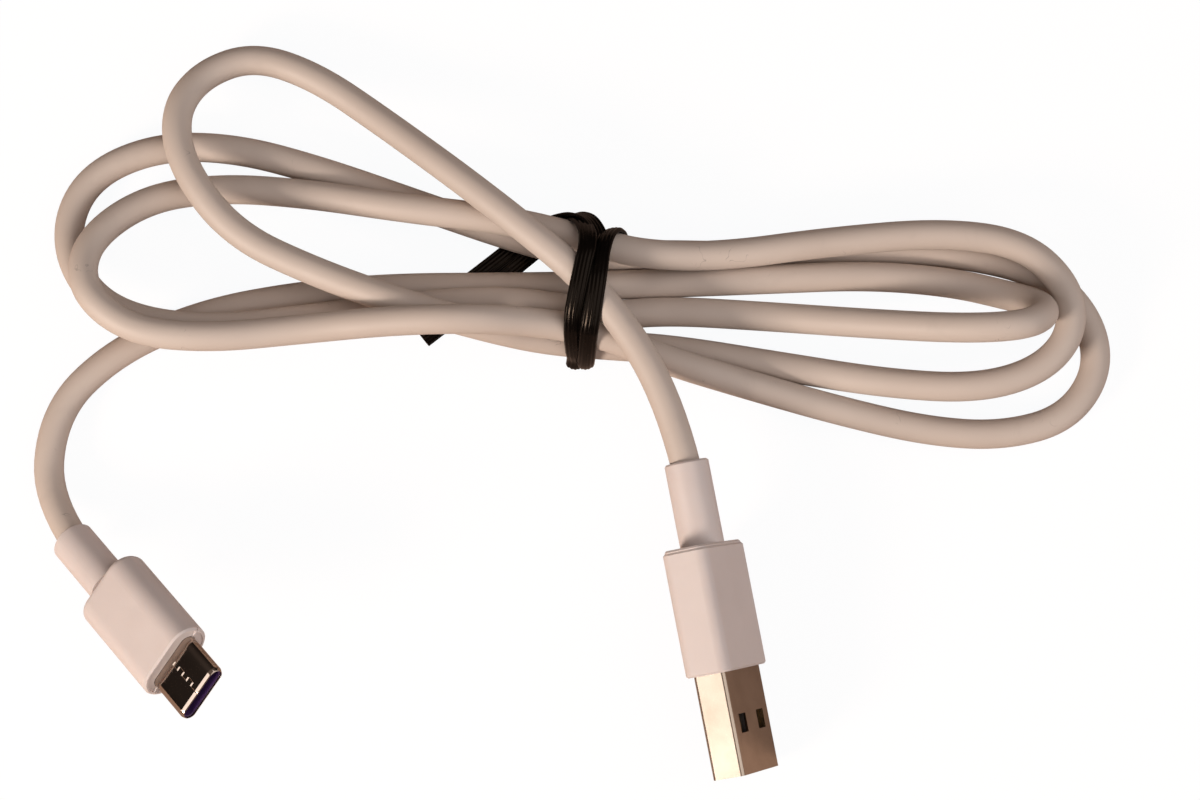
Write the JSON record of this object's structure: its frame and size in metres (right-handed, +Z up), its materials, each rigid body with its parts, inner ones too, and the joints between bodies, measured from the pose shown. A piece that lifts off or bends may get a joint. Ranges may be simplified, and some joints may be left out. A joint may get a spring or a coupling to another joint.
{
  "type": "charging cable",
  "caption": "Charging cable with a flat plug and a small oval plug on a round cord, wound into a loose hank and held by a ribbed tie.",
  "frame": {"origin": "middle of the hank's outline, on the floor it lies on", "axes": "+X along the hank's length, +Y away from the plugs, +Z up"},
  "size_m": [0.1447, 0.101, 0.0218],
  "materials": {
    "cord_sheath": "soft matt sheath",
    "plug_plastic": "satin moulded plastic",
    "tie_plastic": "glossy ribbed ribbon",
    "flat_shell_metal": "plain plated sheet",
    "oval_shell_metal": "bright plated sheet",
    "contact_gold": "thin gold plating",
    "carrier_plastic": "plain moulded plastic",
    "insulator_plastic": "dark moulded plastic",
    "spring_steel": "plain sheet",
    "card_laminate": "laminate",
    "resistor_body": "plain",
    "inner_mould_plastic": "plain moulded plastic",
    "wire_red": "plain sheath",
    "wire_white": "plain sheath",
    "wire_green": "plain sheath",
    "wire_black": "plain sheath"
  },
  "bodies": {
    "root": {"cord": "cord_sheath", "twist_tie": "tie_plastic", "usb_a_contact_carrier": "carrier_plastic", "usb_a_contact_data_minus": "contact_gold", "usb_a_contact_data_plus": "contact_gold", "usb_a_contact_ground": "contact_gold", "usb_a_contact_power": "contact_gold", "usb_a_housing": "plug_plastic", "usb_a_inner_mould": "inner_mould_plastic", "usb_a_shell": "flat_shell_metal", "usb_a_strain_relief": "plug_plastic", "usb_a_wire_black": "wire_black", "usb_a_wire_green": "wire_green", "usb_a_wire_red": "wire_red", "usb_a_wire_white": "wire_white", "usb_c_circuit_card": "card_laminate", "usb_c_contact_lower_1": "contact_gold", "usb_c_contact_lower_12": "contact_gold", "usb_c_contact_lower_4": "contact_gold", "usb_c_contact_lower_9": "contact_gold", "usb_c_contact_upper_1": "contact_gold", "usb_c_contact_upper_12": "contact_gold", "usb_c_contact_upper_4": "contact_gold", "usb_c_contact_upper_5": "contact_gold", "usb_c_contact_upper_6": "contact_gold", "usb_c_contact_upper_7": "contact_gold", "usb_c_contact_upper_9": "contact_gold", "usb_c_housing": "plug_plastic", "usb_c_inner_mould": "inner_mould_plastic", "usb_c_insulator": "insulator_plastic", "usb_c_latch_spring": "spring_steel", "usb_c_resistor": "resistor_body", "usb_c_shell": "oval_shell_metal", "usb_c_strain_relief": "plug_plastic", "usb_c_wire_black": "wire_black", "usb_c_wire_green": "wire_green", "usb_c_wire_red": "wire_red", "usb_c_wire_white": "wire_white"}
  },
  "joints": []
}
